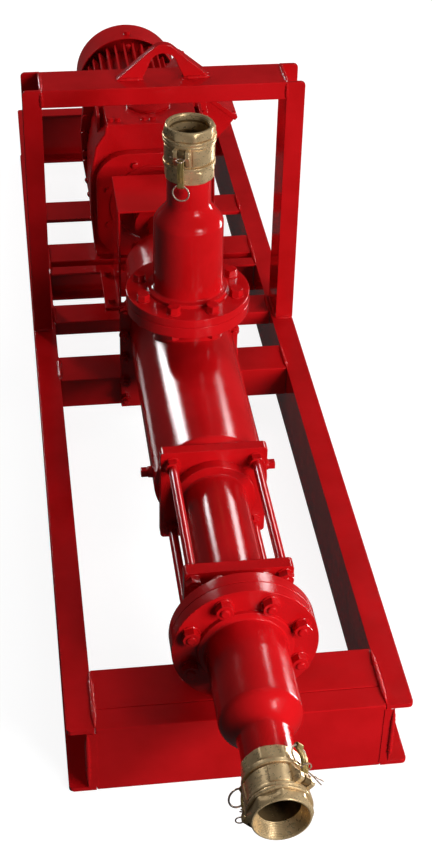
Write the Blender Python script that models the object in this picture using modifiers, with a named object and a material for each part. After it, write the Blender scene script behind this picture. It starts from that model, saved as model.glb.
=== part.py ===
"""Progressive cavity pump on a steel skid: driving dimensions, sub-parts, materials.

The frame is +X to the right, +Y from the discharge end to the motor end and +Z up.
The sizes along Y are measured from the skid's front edge. At the end everything hangs
from one datum, which puts the origin on the ground at the middle of the whole length.
"""
import math

import bmesh
import bpy
from mathutils import Matrix, Vector

inch = 0.0254
gap = 0.0003

# Skid, rolled channels
skid_width = 24 * inch
skid_length = 96.8 * inch
rail_height = 6 * inch
rail_flange = 1.92 * inch
rail_web = 0.25 * inch
rail_flange_thickness = 0.34 * inch
corner_radius = 0.36 * inch

# Lift frame over the suction side, 4 inch channels
post_front = 49.9 * inch
post_depth = 4 * inch
post_flange = 1.58 * inch
post_web = 0.19 * inch
post_flange_thickness = 0.30 * inch
post_height = 23.65 * inch
lug_half_foot = 4.0 * inch
lug_height = 3.05 * inch
lug_top_radius = 1.35 * inch
lug_thickness = 0.75 * inch
lug_opening_half = 1.8 * inch
lug_opening_radius = 1.25 * inch
lug_opening_centre = 1.0 * inch

# Pump line
pump_x = 0.25 * inch
pump_axis = 11.3 * inch
flange_radius = 5.0 * inch
flange_thickness = 0.94 * inch
pipe_radius = 2.78 * inch
pipe_wall = 0.26 * inch
neck_radius = 1.75 * inch
bore_radius = 1.5 * inch
joint_face = 2.37 * inch
discharge_extra = 0.6 * inch
riser_y = 35.05 * inch
riser_flange_top = 19.2 * inch
end_plate = 7.5 * inch
end_plate_back = 5.95 * inch
end_plate_thickness = 1.0 * inch
housing_plate = 8.0 * inch
housing_plate_front = 18.0 * inch
housing_plate_thickness = 0.9 * inch
housing_radius = 4.33 * inch
housing_back = 40.5 * inch
stator_radius = 2.42 * inch
rod_radius = 0.36 * inch
rod_x = 3.12 * inch
rod_z = 2.95 * inch
plug_y = 21.1 * inch
plug_half = 0.29 * inch

# Camlock couplings, lengths from the neck's end outwards
pipe_length = 5.9 * inch
shoulder_length = 1.9 * inch
neck_length = 2.1 * inch
collar_length = 1.4 * inch
collar_half_flat = 1.86 * inch
cup_end = 3.3 * inch
cup_radius = 1.96 * inch
bead_radius = 2.08 * inch
bead_length = 0.33 * inch
coupling_length = 4.35 * inch
adapter_half_flat = 1.88 * inch
thread_depth = 0.8 * inch
socket_start = 1.6 * inch
socket_radius = 1.83 * inch
lever_pivot_out = 2.33 * inch
lever_pivot_along = 2.9 * inch
lever_width = 0.50 * inch
lever_tip_along = 0.25 * inch
lever_tip = 0.205 * inch
lever_head = 0.30 * inch
lever_side_gap = 0.0012
ear_half = 0.33 * inch
ear_tip = 0.26 * inch
ear_thickness = 0.14 * inch
pin_radius = 0.11 * inch
ring_radius = 0.64 * inch
ring_wire = 0.065 * inch
discharge_lever_turn = math.radians(47)
suction_lever_turn = math.radians(68)
discharge_turns = (math.radians(1.5), math.radians(-22.5))
suction_turns = (0, math.radians(-19))
discharge_rings = (math.radians(169), math.radians(-115))
suction_rings = (0, 0)

# Drive train
lantern_radius = 3.75 * inch
lantern_front = 41.6 * inch
guard_front = 52.9 * inch
guard_back = 59.9 * inch
guard_half_width = 4.2 * inch
guard_top = 16.3 * inch
guard_sheet = 0.19 * inch
gearbox_front = 63.2 * inch
gearbox_back = 70.6 * inch
gearbox_top = 19.9 * inch
gearbox_cap_y = 67.6 * inch
gearbox_cap_radius = 2.2 * inch
motor_flange_thickness = 1.1 * inch
motor_back = 90.4 * inch
motor_radius = 5.0 * inch
motor_axis = 11.5 * inch
cowl_back = 94.3 * inch
cowl_radius = 5.43 * inch
terminal_front = 72.2 * inch
terminal_back = 79.8 * inch
terminal_floor = 6.3 * inch
terminal_out = 9.3 * inch
terminal_low = -4.5 * inch
terminal_high = 1.9 * inch
terminal_turn = math.radians(51)

half_width = skid_width / 2
rail_inside = half_width - rail_flange
post_inside = half_width - post_flange
post_top = rail_height + post_height
mouth_overhang = (flange_thickness + pipe_length + discharge_extra + shoulder_length
                  + neck_length + coupling_length - joint_face)
turn_steps = 36

collection = bpy.data.collections.new("progressive_cavity_pump")

for old in list(bpy.data.objects):
    bpy.data.objects.remove(old)
bpy.context.scene.collection.children.link(collection)


def make_material(name, colour, roughness, metallic):
    material = bpy.data.materials.new(name)
    material.use_nodes = True
    shader = material.node_tree.nodes["Principled BSDF"]
    shader.inputs["Base Color"].default_value = (*colour, 1)
    shader.inputs["Roughness"].default_value = roughness
    shader.inputs["Metallic"].default_value = metallic
    return material


red_enamel = make_material("red_enamel", (0.36, 0.008, 0.010), 0.22, 0.0)
brass = make_material("brass", (0.52, 0.42, 0.22), 0.28, 1.0)
bright_steel = make_material("bright_steel", (0.60, 0.58, 0.54), 0.25, 1.0)


# Placing. Each matrix says where a shape's own Z axis points.
def upward(x, y, z):
    return Matrix.Translation((x, y, z))


def forward(x, y, z):
    return Matrix.Translation((x, y, z)) @ Matrix.Rotation(math.pi / 2, 4, "X")


def backward(x, y, z):
    return Matrix.Translation((x, y, z)) @ Matrix.Rotation(-math.pi / 2, 4, "X")


def sideways(x, y, z):
    columns = Matrix(((0, 0, 1, 0), (1, 0, 0, 0), (0, 1, 0, 0), (0, 0, 0, 1)))
    return Matrix.Translation((x, y, z)) @ columns


# Making solids
def keep(name, mesh, material, place):
    mesh.materials.clear()
    mesh.materials.append(material)
    piece = bpy.data.objects.new(name, mesh)
    piece.matrix_world = place
    collection.objects.link(piece)
    return piece


def settle(piece, place, lift=0):
    """Turn an object's evaluated shape, lifted along its own Z, into a placed closed mesh."""
    bpy.context.view_layer.update()
    evaluated = piece.evaluated_get(bpy.context.evaluated_depsgraph_get())
    mesh = bpy.data.meshes.new_from_object(evaluated)
    solid = bmesh.new()
    solid.from_mesh(mesh)
    bmesh.ops.remove_doubles(solid, verts=solid.verts, dist=0.00001)
    bmesh.ops.recalc_face_normals(solid, faces=solid.faces)
    solid.to_mesh(mesh)
    solid.free()
    mesh.transform(Matrix.Translation((0, 0, lift)))
    name = piece.name
    material = piece.data.materials[0]
    bpy.data.objects.remove(piece)
    return keep(name, mesh, material, place)


def box(name, low, high, material=red_enamel):
    solid = bmesh.new()
    bmesh.ops.create_cube(solid, size=1)
    size = Vector(high) - Vector(low)
    middle = (Vector(high) + Vector(low)) / 2
    bmesh.ops.scale(solid, vec=size, verts=solid.verts)
    mesh = bpy.data.meshes.new(name)
    solid.to_mesh(mesh)
    solid.free()
    return keep(name, mesh, material, Matrix.Translation(middle))


def prism(name, outlines, length, place, material=red_enamel, centred=False):
    """A flat outline, with any holes after it, drawn out along the placed Z axis."""
    curve = bpy.data.curves.new(name, "CURVE")
    curve.dimensions = "2D"
    curve.fill_mode = "BOTH"
    curve.extrude = length / 2
    curve.materials.append(material)
    for outline in outlines:
        spline = curve.splines.new("POLY")
        spline.points.add(len(outline) - 1)
        for point, (across, along) in zip(spline.points, outline):
            point.co = (across, along, 0, 1)
        spline.use_cyclic_u = True
    piece = bpy.data.objects.new(name, curve)
    collection.objects.link(piece)
    return settle(piece, place, 0 if centred else length / 2)


def turned(name, profile, place, material=red_enamel, closed=False, steps=turn_steps):
    """A profile of (radius, height) points, top to bottom on the outside, turned about Z."""
    mesh = bpy.data.meshes.new(name)
    solid = bmesh.new()
    points = [solid.verts.new((radius, 0, height)) for radius, height in profile]
    for first, second in zip(points, points[1:]):
        solid.edges.new((first, second))
    if closed:
        solid.edges.new((points[-1], points[0]))
    solid.to_mesh(mesh)
    solid.free()
    mesh.materials.append(material)
    piece = bpy.data.objects.new(name, mesh)
    collection.objects.link(piece)
    screw = piece.modifiers.new("Turn", "SCREW")
    screw.steps = steps
    screw.render_steps = steps
    screw.use_merge_vertices = True
    screw.merge_threshold = 0.00001
    return settle(piece, place)


def rod(name, radius, length, place, material=red_enamel, steps=16):
    profile = [(0, length), (radius, length), (radius, 0), (0, 0)]
    return turned(name, profile, place, material, steps=steps)


def torus(name, radius, wire, place, material):
    """A closed wire ring about the placed Z axis."""
    curve = bpy.data.curves.new(name, "CURVE")
    curve.dimensions = "3D"
    curve.bevel_depth = wire
    curve.bevel_resolution = 1
    curve.materials.append(material)
    spline = curve.splines.new("POLY")
    spline.points.add(17)
    for step, point in enumerate(spline.points):
        angle = step * math.tau / 18
        point.co = (radius * math.cos(angle), radius * math.sin(angle), 0, 1)
    spline.use_cyclic_u = True
    piece = bpy.data.objects.new(name, curve)
    collection.objects.link(piece)
    return settle(piece, place)


def combine(target, tools, operation):
    """Join tools to the target, or cut them from it, and remove the tools."""
    for tool in tools:
        boolean = target.modifiers.new("Combine", "BOOLEAN")
        boolean.operation = operation
        boolean.solver = "EXACT"
        boolean.object = tool
        target = settle(target, target.matrix_world.copy())
        bpy.data.objects.remove(tool)
    return target


def smooth(piece):
    piece.data.shade_smooth()
    piece.data.set_sharp_from_angle(angle=math.radians(35))
    return piece


def circle(centre_x, centre_y, radius, count):
    angles = [step * math.tau / count for step in range(count)]
    return [(centre_x + radius * math.cos(a), centre_y + radius * math.sin(a)) for a in angles]


def arc(centre_x, centre_y, radius, start, end, count):
    angles = [math.radians(start + (end - start) * step / count) for step in range(count + 1)]
    return [(centre_x + radius * math.cos(a), centre_y + radius * math.sin(a)) for a in angles]


def square(half):
    return [(-half, -half), (half, -half), (half, half), (-half, half)]


def rounded(half, low, high, radius):
    """An upright rectangle with round corners, half its width each side of zero."""
    inner = half - radius
    corners = ((inner, high - radius, 0), (-inner, high - radius, 90),
               (-inner, low + radius, 180), (inner, low + radius, 270))
    points = []
    for across, up, start in corners:
        points += arc(across, up, radius, start, start + 90, 6)
    return points


def octagon(half_flat):
    corner = half_flat / math.cos(math.pi / 8)
    return [(corner * math.cos(a), corner * math.sin(a))
            for a in [math.pi / 8 + step * math.pi / 4 for step in range(8)]]


def channel(height, flange, web, thickness):
    """A rolled channel's section, web on the left, standing on its lower flange."""
    return [(0, 0), (flange, 0), (flange, thickness), (web, thickness),
            (web, height - thickness), (flange, height - thickness), (flange, height), (0, height)]


def web_up(depth, height, web, thickness):
    """The same section laid with its web on top, from 0 back to its depth, top at 0."""
    return [(0, 0), (depth, 0), (depth, -height), (depth - thickness, -height),
            (depth - thickness, -web), (thickness, -web), (thickness, -height), (0, -height)]


def round_corners(piece, is_corner, radius):
    """Round the edges that the test picks, as the toes of a cut channel are rounded."""
    solid = bmesh.new()
    solid.from_mesh(piece.data)
    picked = [edge for edge in solid.edges if is_corner(edge.verts[0].co, edge.verts[1].co)]
    bmesh.ops.bevel(solid, geom=picked, offset=radius, segments=4, profile=0.5, affect="EDGES")
    solid.to_mesh(piece.data)
    solid.free()
    return piece


# Skid
def make_rail(side, sign):
    section = channel(rail_height, rail_flange, rail_web, rail_flange_thickness)
    outline = [(sign * (rail_inside + across), up) for across, up in section]
    piece = prism("rail_" + side, [outline], skid_length, forward(0, skid_length, 0))

    def is_toe(first, second):
        at_tip = abs(abs(first.x) - half_width) < gap and abs(abs(second.x) - half_width) < gap
        upright = abs(first.z - second.z) < gap and abs(first.y - second.y) > gap
        at_end = min(abs(first.z), abs(first.z - skid_length)) < gap
        return at_tip and upright and at_end

    return round_corners(piece, is_toe, corner_radius)


def make_cross_piece(name, section, y, z):
    length = 2 * (rail_inside - gap)
    return prism(name, [section], length, sideways(-rail_inside + gap, y, z))


def make_skid():
    make_rail("left", -1)
    make_rail("right", 1)
    end_section = channel(rail_height, rail_flange, 0.2 * inch, rail_flange_thickness)
    make_cross_piece("front_end_channel", end_section, 0, 0)
    flipped = [(rail_flange - across, up) for across, up in end_section]
    make_cross_piece("rear_end_channel", flipped, skid_length - rail_flange, 0)
    wide = web_up(3.8 * inch, 1.7 * inch, 0.2 * inch, 0.3 * inch)
    make_cross_piece("front_crossmember", wide, rail_flange + gap, rail_height)
    deep = web_up(3.8 * inch, 2.85 * inch, 0.25 * inch, 0.3 * inch)
    make_cross_piece("pump_crossmember", deep, 41.6 * inch, rail_height)
    small = web_up(3.1 * inch, 1.4 * inch, 0.2 * inch, 0.27 * inch)
    make_cross_piece("frame_crossmember", small, 51.1 * inch, rail_height)
    upright = channel(3 * inch, 1.45 * inch, 0.2 * inch, 0.27 * inch)
    faced_front = [(1.45 * inch - across, up) for across, up in upright]
    make_cross_piece("guard_crossmember", faced_front, 59.8 * inch, rail_height - 3 * inch)
    band = web_up(3.5 * inch, 1.5 * inch, 0.2 * inch, 0.28 * inch)
    make_cross_piece("gearbox_crossmember", band, 62.2 * inch, rail_height)
    flat_bar = [(0, 0), (3.8 * inch, 0), (3.8 * inch, -0.375 * inch), (0, -0.375 * inch)]
    make_cross_piece("motor_crossmember", flat_bar, 70.6 * inch, rail_height)


# Lift frame
def make_post(side, sign):
    section = channel(post_depth, post_flange, post_web, post_flange_thickness)
    outline = [(sign * (post_inside + across), post_front + back) for across, back in section]
    foot = rail_height + gap
    piece = prism("lift_post_" + side, [outline], post_top - foot, upward(0, 0, foot))

    def is_top_toe(first, second):
        at_tip = abs(abs(first.x) - half_width) < gap and abs(abs(second.x) - half_width) < gap
        at_top = min(first.z, second.z) > post_top - foot - gap
        return at_tip and at_top

    return round_corners(piece, is_top_toe, corner_radius)


def make_lift_frame():
    make_post("left", -1)
    make_post("right", 1)
    section = web_up(post_depth, post_flange, post_web, post_flange_thickness)
    length = 2 * (post_inside - gap)
    prism("lift_beam", [section], length, sideways(-post_inside + gap, post_front, post_top))
    lean = math.degrees(math.atan2(lug_height - lug_top_radius, lug_half_foot))
    reach = math.hypot(lug_height - lug_top_radius, lug_half_foot)
    swing = math.degrees(math.acos(lug_top_radius / reach))
    top_y = lug_height - lug_top_radius
    start = -lean + swing
    outline = [(lug_half_foot, 0)]
    outline += arc(0, top_y, lug_top_radius, start, 180 - start, 8)
    outline += [(-lug_half_foot, 0), (-lug_opening_half, 0)]
    outline += arc(0, lug_opening_centre, lug_opening_radius, 170, 10, 10)
    outline += [(lug_opening_half, 0)]
    lug_back = post_front + (post_depth + lug_thickness) / 2
    prism("lifting_lug", [outline], lug_thickness, forward(0, lug_back, post_top + gap))


# Camlock coupling, drawn on its own Z axis from the neck's end outwards
def make_spool(name, straight, place):
    """Flange, hub, pipe, reducing shoulder and threaded neck; Z = 0 at the flange's face."""
    shoulder = flange_thickness + straight
    neck = shoulder + shoulder_length
    end = neck + neck_length + thread_depth
    inner = pipe_radius - pipe_wall
    curve = [(neck_radius + (pipe_radius - neck_radius) * (1 + math.cos(math.pi * t / 6)) / 2,
              shoulder + shoulder_length * t / 6) for t in range(6, -1, -1)]
    profile = [(neck_radius, end)] + curve
    profile += [(pipe_radius, flange_thickness + 0.35 * inch),
                (3.3 * inch, flange_thickness + 0.25 * inch), (3.3 * inch, flange_thickness),
                (flange_radius, flange_thickness), (flange_radius, 0), (inner, 0),
                (inner, shoulder), (bore_radius, neck), (bore_radius, end)]
    return smooth(turned(name, profile, place, closed=True))


def make_coupler(name, collar_turn, lever_turn, place):
    turned_place = place @ Matrix.Rotation(collar_turn, 4, "Z")
    collar = prism(name, [octagon(collar_half_flat)], collar_length, turned_place, brass)
    root = collar_length - 0.1 * inch
    profile = [(0, cup_end), (cup_radius, cup_end), (cup_radius, collar_length + 0.3 * inch),
               (bead_radius, collar_length + 0.2 * inch), (bead_radius, collar_length),
               (cup_radius, root), (0, root)]
    body = combine(collar, [turned(name + "_cup", profile, place, brass)], "UNION")
    for side in (0, math.pi):
        swing = place @ Matrix.Rotation(lever_turn + side, 4, "Z")
        outline = [(1.8 * inch, lever_pivot_along - ear_half)]
        outline += arc(lever_pivot_out, lever_pivot_along, ear_tip, -90, 90, 6)
        outline += [(1.8 * inch, lever_pivot_along + ear_half)]
        near = lever_width / 2 + lever_side_gap
        for edge in (-near, near + ear_thickness):
            side_face = swing @ Matrix.Translation((0, edge, 0)) @ Matrix.Rotation(math.pi / 2, 4, "X")
            ear = prism(name + "_ear", [outline], ear_thickness, side_face, brass)
            body = combine(body, [ear], "UNION")
        pin_length = lever_width + 0.44 * inch
        along = Matrix.Translation((lever_pivot_out, pin_length / 2, lever_pivot_along))
        pin = rod(name + "_pin", pin_radius, pin_length,
                  swing @ along @ Matrix.Rotation(math.pi / 2, 4, "X"), brass, steps=12)
        body = combine(body, [pin], "UNION")
    below = place @ Matrix.Translation((0, 0, -0.01))
    seat = rod(name + "_bore", bore_radius, cup_end, below, brass)
    thread = rod(name + "_thread", neck_radius + gap, thread_depth + gap + 0.01, below, brass,
                 steps=turn_steps)
    socket = rod(name + "_socket", socket_radius, cup_end, place @ Matrix.Translation((0, 0, socket_start)),
                 brass, steps=turn_steps)
    return smooth(combine(body, [seat, thread, socket], "DIFFERENCE"))


def make_adapter(name, head_turn, place):
    face = cup_end + gap
    head_start = face + bead_length
    stem = socket_radius - 0.03 * inch
    stem_end = socket_start + 0.1 * inch
    profile = [(0, head_start + 0.2 * inch), (1.7 * inch, head_start + 0.2 * inch),
               (1.86 * inch, head_start + 0.08 * inch), (bead_radius, head_start), (bead_radius, face),
               (stem, face), (stem, stem_end), (0, stem_end)]
    turn = Matrix.Rotation(head_turn, 4, "Z")
    start = Matrix.Translation((0, 0, head_start + 0.03 * inch)) @ turn
    head = prism(name, [octagon(adapter_half_flat)], coupling_length - head_start - 0.03 * inch,
                 place @ start, brass)
    crown = turned(name + "_crown", [(0, coupling_length), (1.92 * inch, coupling_length),
                                     (2.2 * inch, coupling_length - 0.18 * inch),
                                     (2.2 * inch, face), (0, face)], place, brass)
    head = combine(head, [crown], "INTERSECT")
    body = combine(head, [turned(name + "_stem", profile, place, brass)], "UNION")
    bore = rod(name + "_bore", bore_radius, coupling_length, place @ Matrix.Translation((0, 0, 0.02)),
               brass, steps=turn_steps)
    mouth_floor = coupling_length - 0.8 * inch
    beyond = coupling_length + 0.01
    mouth = turned(name + "_mouth", [(0, beyond), (1.72 * inch, beyond), (1.66 * inch, mouth_floor),
                                     (0, mouth_floor)], place, brass)
    return smooth(combine(body, [bore, mouth], "DIFFERENCE"))


def make_lever(name, lever_turn, ring_turn, place):
    """Cam head on the pin, flat arm lying back along the coupler, and its pull ring in its eye."""
    arm_in = -0.02 * inch
    arm_out = 0.20 * inch
    middle = (arm_in + arm_out) / 2
    tip = lever_tip_along - lever_pivot_along
    outline = arc(0, 0, lever_head, -70, 130, 8)
    outline += [(-0.22 * inch, -0.3 * inch), (arm_in, -0.7 * inch), (arm_in, tip + 0.4 * inch)]
    outline += arc(middle, tip, lever_tip, 150, 390, 8)
    outline += [(arm_out, tip + 0.4 * inch), (arm_out, -0.6 * inch)]
    hole = circle(0, 0, pin_radius + 0.0006, 12)
    eye = circle(middle, tip, ring_wire + 0.0017, 10)
    pivot = place @ Matrix.Rotation(lever_turn, 4, "Z") @ Matrix.Translation(
        (lever_pivot_out, 0, lever_pivot_along))
    face = pivot @ Matrix.Rotation(math.pi / 2, 4, "X")
    smooth(prism(name, [outline, hole, eye], lever_width, face, brass, centred=True))
    eye_place = pivot @ Matrix.Translation((middle, 0, tip)) @ Matrix.Rotation(ring_turn, 4, "Y")
    hang = Matrix.Translation((0, 0, 0.0006 - ring_radius)) @ Matrix.Rotation(math.pi / 2, 4, "Y")
    smooth(torus(name + "_ring", ring_radius, ring_wire, eye_place @ hang, bright_steel))


def make_coupling(prefix, straight, flange_place, lever_turn, turns, rings):
    make_spool(prefix + "_spool", straight, flange_place)
    neck_end = flange_thickness + straight + shoulder_length + neck_length
    place = flange_place @ Matrix.Translation((0, 0, neck_end))
    make_coupler(prefix + "_coupler", turns[0], lever_turn, place)
    make_adapter(prefix + "_adapter", turns[1], place)
    make_lever(prefix + "_lever_a", lever_turn, rings[0], place)
    make_lever(prefix + "_lever_b", lever_turn + math.pi, rings[1], place)


# Pump body
def rod_holes():
    return [circle(x, z, rod_radius + gap, 16) for x in (-rod_x, rod_x) for z in (-rod_z, rod_z)]


def make_pump():
    face = joint_face + gap
    front_of_plate = end_plate_back - end_plate_thickness
    plate = prism("discharge_head", [square(end_plate / 2)] + rod_holes(), end_plate_thickness,
                  backward(pump_x, front_of_plate, pump_axis))
    length = front_of_plate - face + 0.1 * inch
    profile = [(0, length), (pipe_radius, length), (pipe_radius, flange_thickness + 0.2 * inch),
               (3.2 * inch, flange_thickness), (flange_radius, flange_thickness),
               (flange_radius, 0), (0, 0)]
    neck = turned("discharge_neck", profile, backward(pump_x, face, pump_axis))
    bore = rod("discharge_bore", pipe_radius - pipe_wall, end_plate_back, backward(pump_x, 0, pump_axis),
               steps=turn_steps)
    smooth(combine(combine(plate, [neck], "UNION"), [bore], "DIFFERENCE"))

    stator_start = end_plate_back + gap
    stator_length = housing_plate_front - stator_start - gap
    profile = [(0, stator_length), (3.1 * inch, stator_length), (3.1 * inch, stator_length - 0.8 * inch),
               (stator_radius, stator_length - 0.9 * inch), (stator_radius, 0), (0, 0)]
    smooth(turned("stator_tube", profile, backward(pump_x, stator_start, pump_axis)))

    rod_start = end_plate_back - end_plate_thickness - 0.7 * inch
    rod_end = housing_plate_front + housing_plate_thickness - gap
    number = 1
    for x in (-rod_x, rod_x):
        for z in (-rod_z, rod_z):
            smooth(rod("tie_rod_" + str(number), rod_radius, rod_end - rod_start,
                       backward(pump_x + x, rod_start, pump_axis + z)))
            number += 1


def make_housing():
    """Suction housing: front plate, barrel and nozzle flange, open from the nozzle to its axis."""
    plate_back = housing_plate_front + housing_plate_thickness
    plate = prism("suction_housing", [square(housing_plate / 2)] + rod_holes(), housing_plate_thickness,
                  backward(pump_x, housing_plate_front, pump_axis))
    barrel = turned("housing_barrel", [(0, housing_back - plate_back + 0.002),
                                       (housing_radius, housing_back - plate_back + 0.002),
                                       (housing_radius, 0.5 * inch), (3.75 * inch, 0), (0, 0)],
                    backward(pump_x, plate_back - 0.002, pump_axis))
    lower_face = riser_flange_top - flange_thickness - gap
    nozzle_length = lower_face - pump_axis
    nozzle = turned("housing_nozzle", [(0, nozzle_length), (flange_radius, nozzle_length),
                                       (flange_radius, nozzle_length - flange_thickness),
                                       (3.2 * inch, nozzle_length - flange_thickness),
                                       (2.9 * inch, nozzle_length - flange_thickness - 0.3 * inch),
                                       (2.9 * inch, 0), (0, 0)],
                    upward(pump_x, riser_y, pump_axis))
    body = combine(plate, [barrel, nozzle], "UNION")
    throat = rod("housing_throat", pipe_radius - pipe_wall, nozzle_length + 0.01,
                 upward(pump_x, riser_y, pump_axis), steps=turn_steps)
    smooth(combine(body, [throat], "DIFFERENCE"))

    for side, sign in (("left", -1), ("right", 1)):
        start = pump_x + sign * (housing_radius + gap)
        length = 0.85 * inch
        low = (min(start, start + sign * length), plug_y - plug_half, pump_axis - plug_half)
        high = (max(start, start + sign * length), plug_y + plug_half, pump_axis + plug_half)
        box("housing_plug_" + side, low, high)

    plate_front = housing_back + gap
    outline = [(-5.1 * inch, -7.7 * inch), (5.1 * inch, -7.7 * inch), (5.1 * inch, 2.2 * inch),
               (3.4 * inch, 4.4 * inch), (-3.4 * inch, 4.4 * inch), (-5.1 * inch, 2.2 * inch)]
    thickness = lantern_front - plate_front - 0.25 * inch
    prism("pump_rear_support", [outline], thickness,
          forward(pump_x, plate_front + thickness, pump_axis))


# Drive
def make_drive():
    start = lantern_front - 0.25 * inch + gap
    length = guard_front - start - 1.0 * inch
    profile = [(0, length), (3.3 * inch, length), (lantern_radius, length - 0.4 * inch),
               (lantern_radius, 0), (0, 0)]
    bearing = turned("bearing_housing", profile, backward(pump_x, start, pump_axis))
    smooth(bearing)
    shaft_start = start + length + gap
    shaft_end = gearbox_front - 1.0 * inch - gap
    shaft = shaft_end - shaft_start
    profile = [(0, shaft), (2.1 * inch, shaft), (2.1 * inch, shaft - 3 * inch), (1.0 * inch, shaft - 3 * inch),
               (1.0 * inch, 0), (0, 0)]
    smooth(turned("drive_coupling", profile, backward(pump_x, shaft_start, pump_axis)))

    floor = rail_height + gap
    inner = guard_half_width - guard_sheet
    outline = [(-guard_half_width - 1.3 * inch, floor), (-inner, floor),
               (-inner, guard_top - guard_sheet), (inner, guard_top - guard_sheet), (inner, floor),
               (guard_half_width + 1.3 * inch, floor), (guard_half_width + 1.3 * inch, floor + guard_sheet),
               (guard_half_width, floor + guard_sheet), (guard_half_width, guard_top),
               (-guard_half_width, guard_top), (-guard_half_width, floor + guard_sheet),
               (-guard_half_width - 1.3 * inch, floor + guard_sheet)]
    prism("coupling_guard", [outline], guard_back - guard_front, forward(pump_x, guard_back, 0))

    cover = prism("gearbox_output_flange", [rounded(5.5 * inch, 6.3 * inch, 17.3 * inch, 3 * inch)],
                  1.0 * inch - gap, forward(pump_x, gearbox_front - gap, 0))
    smooth(cover)
    half_outline = [(5.6 * inch, floor), (5.95 * inch, 11 * inch), (5.85 * inch, 14.7 * inch),
                    (5.3 * inch, 17.7 * inch), (4.4 * inch, 19.0 * inch), (4.31 * inch, gearbox_top)]
    outline = half_outline + [(-across, up) for across, up in reversed(half_outline)]
    prism("gearbox_housing", [outline], gearbox_back - gearbox_front - gap,
          forward(pump_x, gearbox_back - gap, 0))
    smooth(turned("gearbox_cap", [(0, 0.85 * inch), (1.2 * inch, 0.8 * inch), (1.85 * inch, 0.6 * inch),
                                  (gearbox_cap_radius, 0.25 * inch), (gearbox_cap_radius, 0), (0, 0)],
                  upward(pump_x, gearbox_cap_y, gearbox_top + gap)))

    half_outline = [(4.6 * inch, floor), (5.6 * inch, 7.3 * inch), (6.3 * inch, 12.5 * inch),
                    (6.42 * inch, 15.7 * inch), (6.05 * inch, 18.4 * inch), (5.2 * inch, 19.2 * inch)]
    outline = half_outline + [(-across, up) for across, up in reversed(half_outline)]
    prism("motor_flange", [outline], motor_flange_thickness,
          forward(pump_x, gearbox_back + motor_flange_thickness, 0))
    start = gearbox_back + motor_flange_thickness + gap
    smooth(turned("motor_body", [(0, motor_back - start), (motor_radius, motor_back - start),
                                 (motor_radius, 0), (0, 0)], backward(pump_x, start, motor_axis)))
    start = motor_back + gap
    length = cowl_back - start
    smooth(turned("fan_cowl", [(0, length), (cowl_radius - 0.15 * inch, length),
                               (cowl_radius, length - 0.15 * inch), (cowl_radius, 0), (0, 0)],
                  backward(pump_x, start, motor_axis)))
    outline = arc(0, 0, motor_radius + 4 * gap, -45, -5, 5)
    outline += [(terminal_floor, -0.4 * inch), (terminal_floor, terminal_high), (terminal_out, terminal_high),
                (terminal_out, terminal_low), (terminal_floor, terminal_low),
                (terminal_floor, terminal_low + 0.9 * inch)]
    prism("terminal_box", [outline], terminal_back - terminal_front,
          forward(pump_x, terminal_back, motor_axis) @ Matrix.Rotation(terminal_turn, 4, "Z"))


make_skid()
make_lift_frame()
make_coupling("discharge", pipe_length + discharge_extra, forward(pump_x, joint_face, pump_axis),
              discharge_lever_turn, discharge_turns, discharge_rings)
suction_place = upward(pump_x, riser_y, riser_flange_top - flange_thickness)
make_coupling("suction", pipe_length, suction_place, suction_lever_turn, suction_turns, suction_rings)
make_pump()
make_housing()
make_drive()

datum = bpy.data.objects.new("datum", None)
datum.location.y = (mouth_overhang - skid_length) / 2
bpy.context.scene.collection.objects.link(datum)
for piece in list(collection.objects):
    piece.parent = datum
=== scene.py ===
import math

import bmesh
import bpy
from mathutils import Matrix, Vector, noise


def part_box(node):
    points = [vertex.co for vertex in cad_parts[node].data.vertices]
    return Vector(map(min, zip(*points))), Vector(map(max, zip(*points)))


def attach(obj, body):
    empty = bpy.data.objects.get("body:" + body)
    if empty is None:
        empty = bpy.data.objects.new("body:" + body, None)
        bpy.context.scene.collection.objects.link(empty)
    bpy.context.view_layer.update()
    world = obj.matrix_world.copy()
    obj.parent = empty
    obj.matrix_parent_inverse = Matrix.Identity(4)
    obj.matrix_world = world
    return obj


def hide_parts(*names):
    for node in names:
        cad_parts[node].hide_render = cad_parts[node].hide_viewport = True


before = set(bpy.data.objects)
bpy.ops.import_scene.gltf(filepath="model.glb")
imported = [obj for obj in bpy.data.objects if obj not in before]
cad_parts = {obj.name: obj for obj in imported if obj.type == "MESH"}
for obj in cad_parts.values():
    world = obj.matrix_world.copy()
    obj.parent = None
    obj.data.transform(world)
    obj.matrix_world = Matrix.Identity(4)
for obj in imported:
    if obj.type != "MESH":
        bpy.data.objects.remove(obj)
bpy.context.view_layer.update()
print("frame loaded,", len(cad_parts), "solids")

inch = 0.0254
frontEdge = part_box("rail_left")[0].y  # the skid's front edge, where lengths are measured from
skid = "skid_and_pump"
pumpX, pumpZ = 0.25, 11.3  # the pump's long axis, in inches like every size below


# places: a piece is drawn in inches on its own Z axis, then set in the frame
def spot(x, y, z):
    return Vector((x * inch, frontEdge + y * inch, z * inch))


def facing(x, y, z, turn):
    return Matrix.Translation(spot(x, y, z)) @ turn @ Matrix.Scale(inch, 4)


def facingUp(x, y, z):
    return facing(x, y, z, Matrix.Identity(4))


def facingFront(x, y, z):
    return facing(x, y, z, Matrix.Rotation(math.pi / 2, 4, "X"))


def facingBack(x, y, z):
    return facing(x, y, z, Matrix.Rotation(-math.pi / 2, 4, "X"))


def facingRight(x, y, z):
    return facing(x, y, z, Matrix(((0, 0, 1, 0), (1, 0, 0, 0), (0, 1, 0, 0), (0, 0, 0, 1))))


def shift(x, y, z):
    return Matrix.Translation((x, y, z))


def spin(degrees, axis="Z"):
    return Matrix.Rotation(math.radians(degrees), 4, axis)


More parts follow.
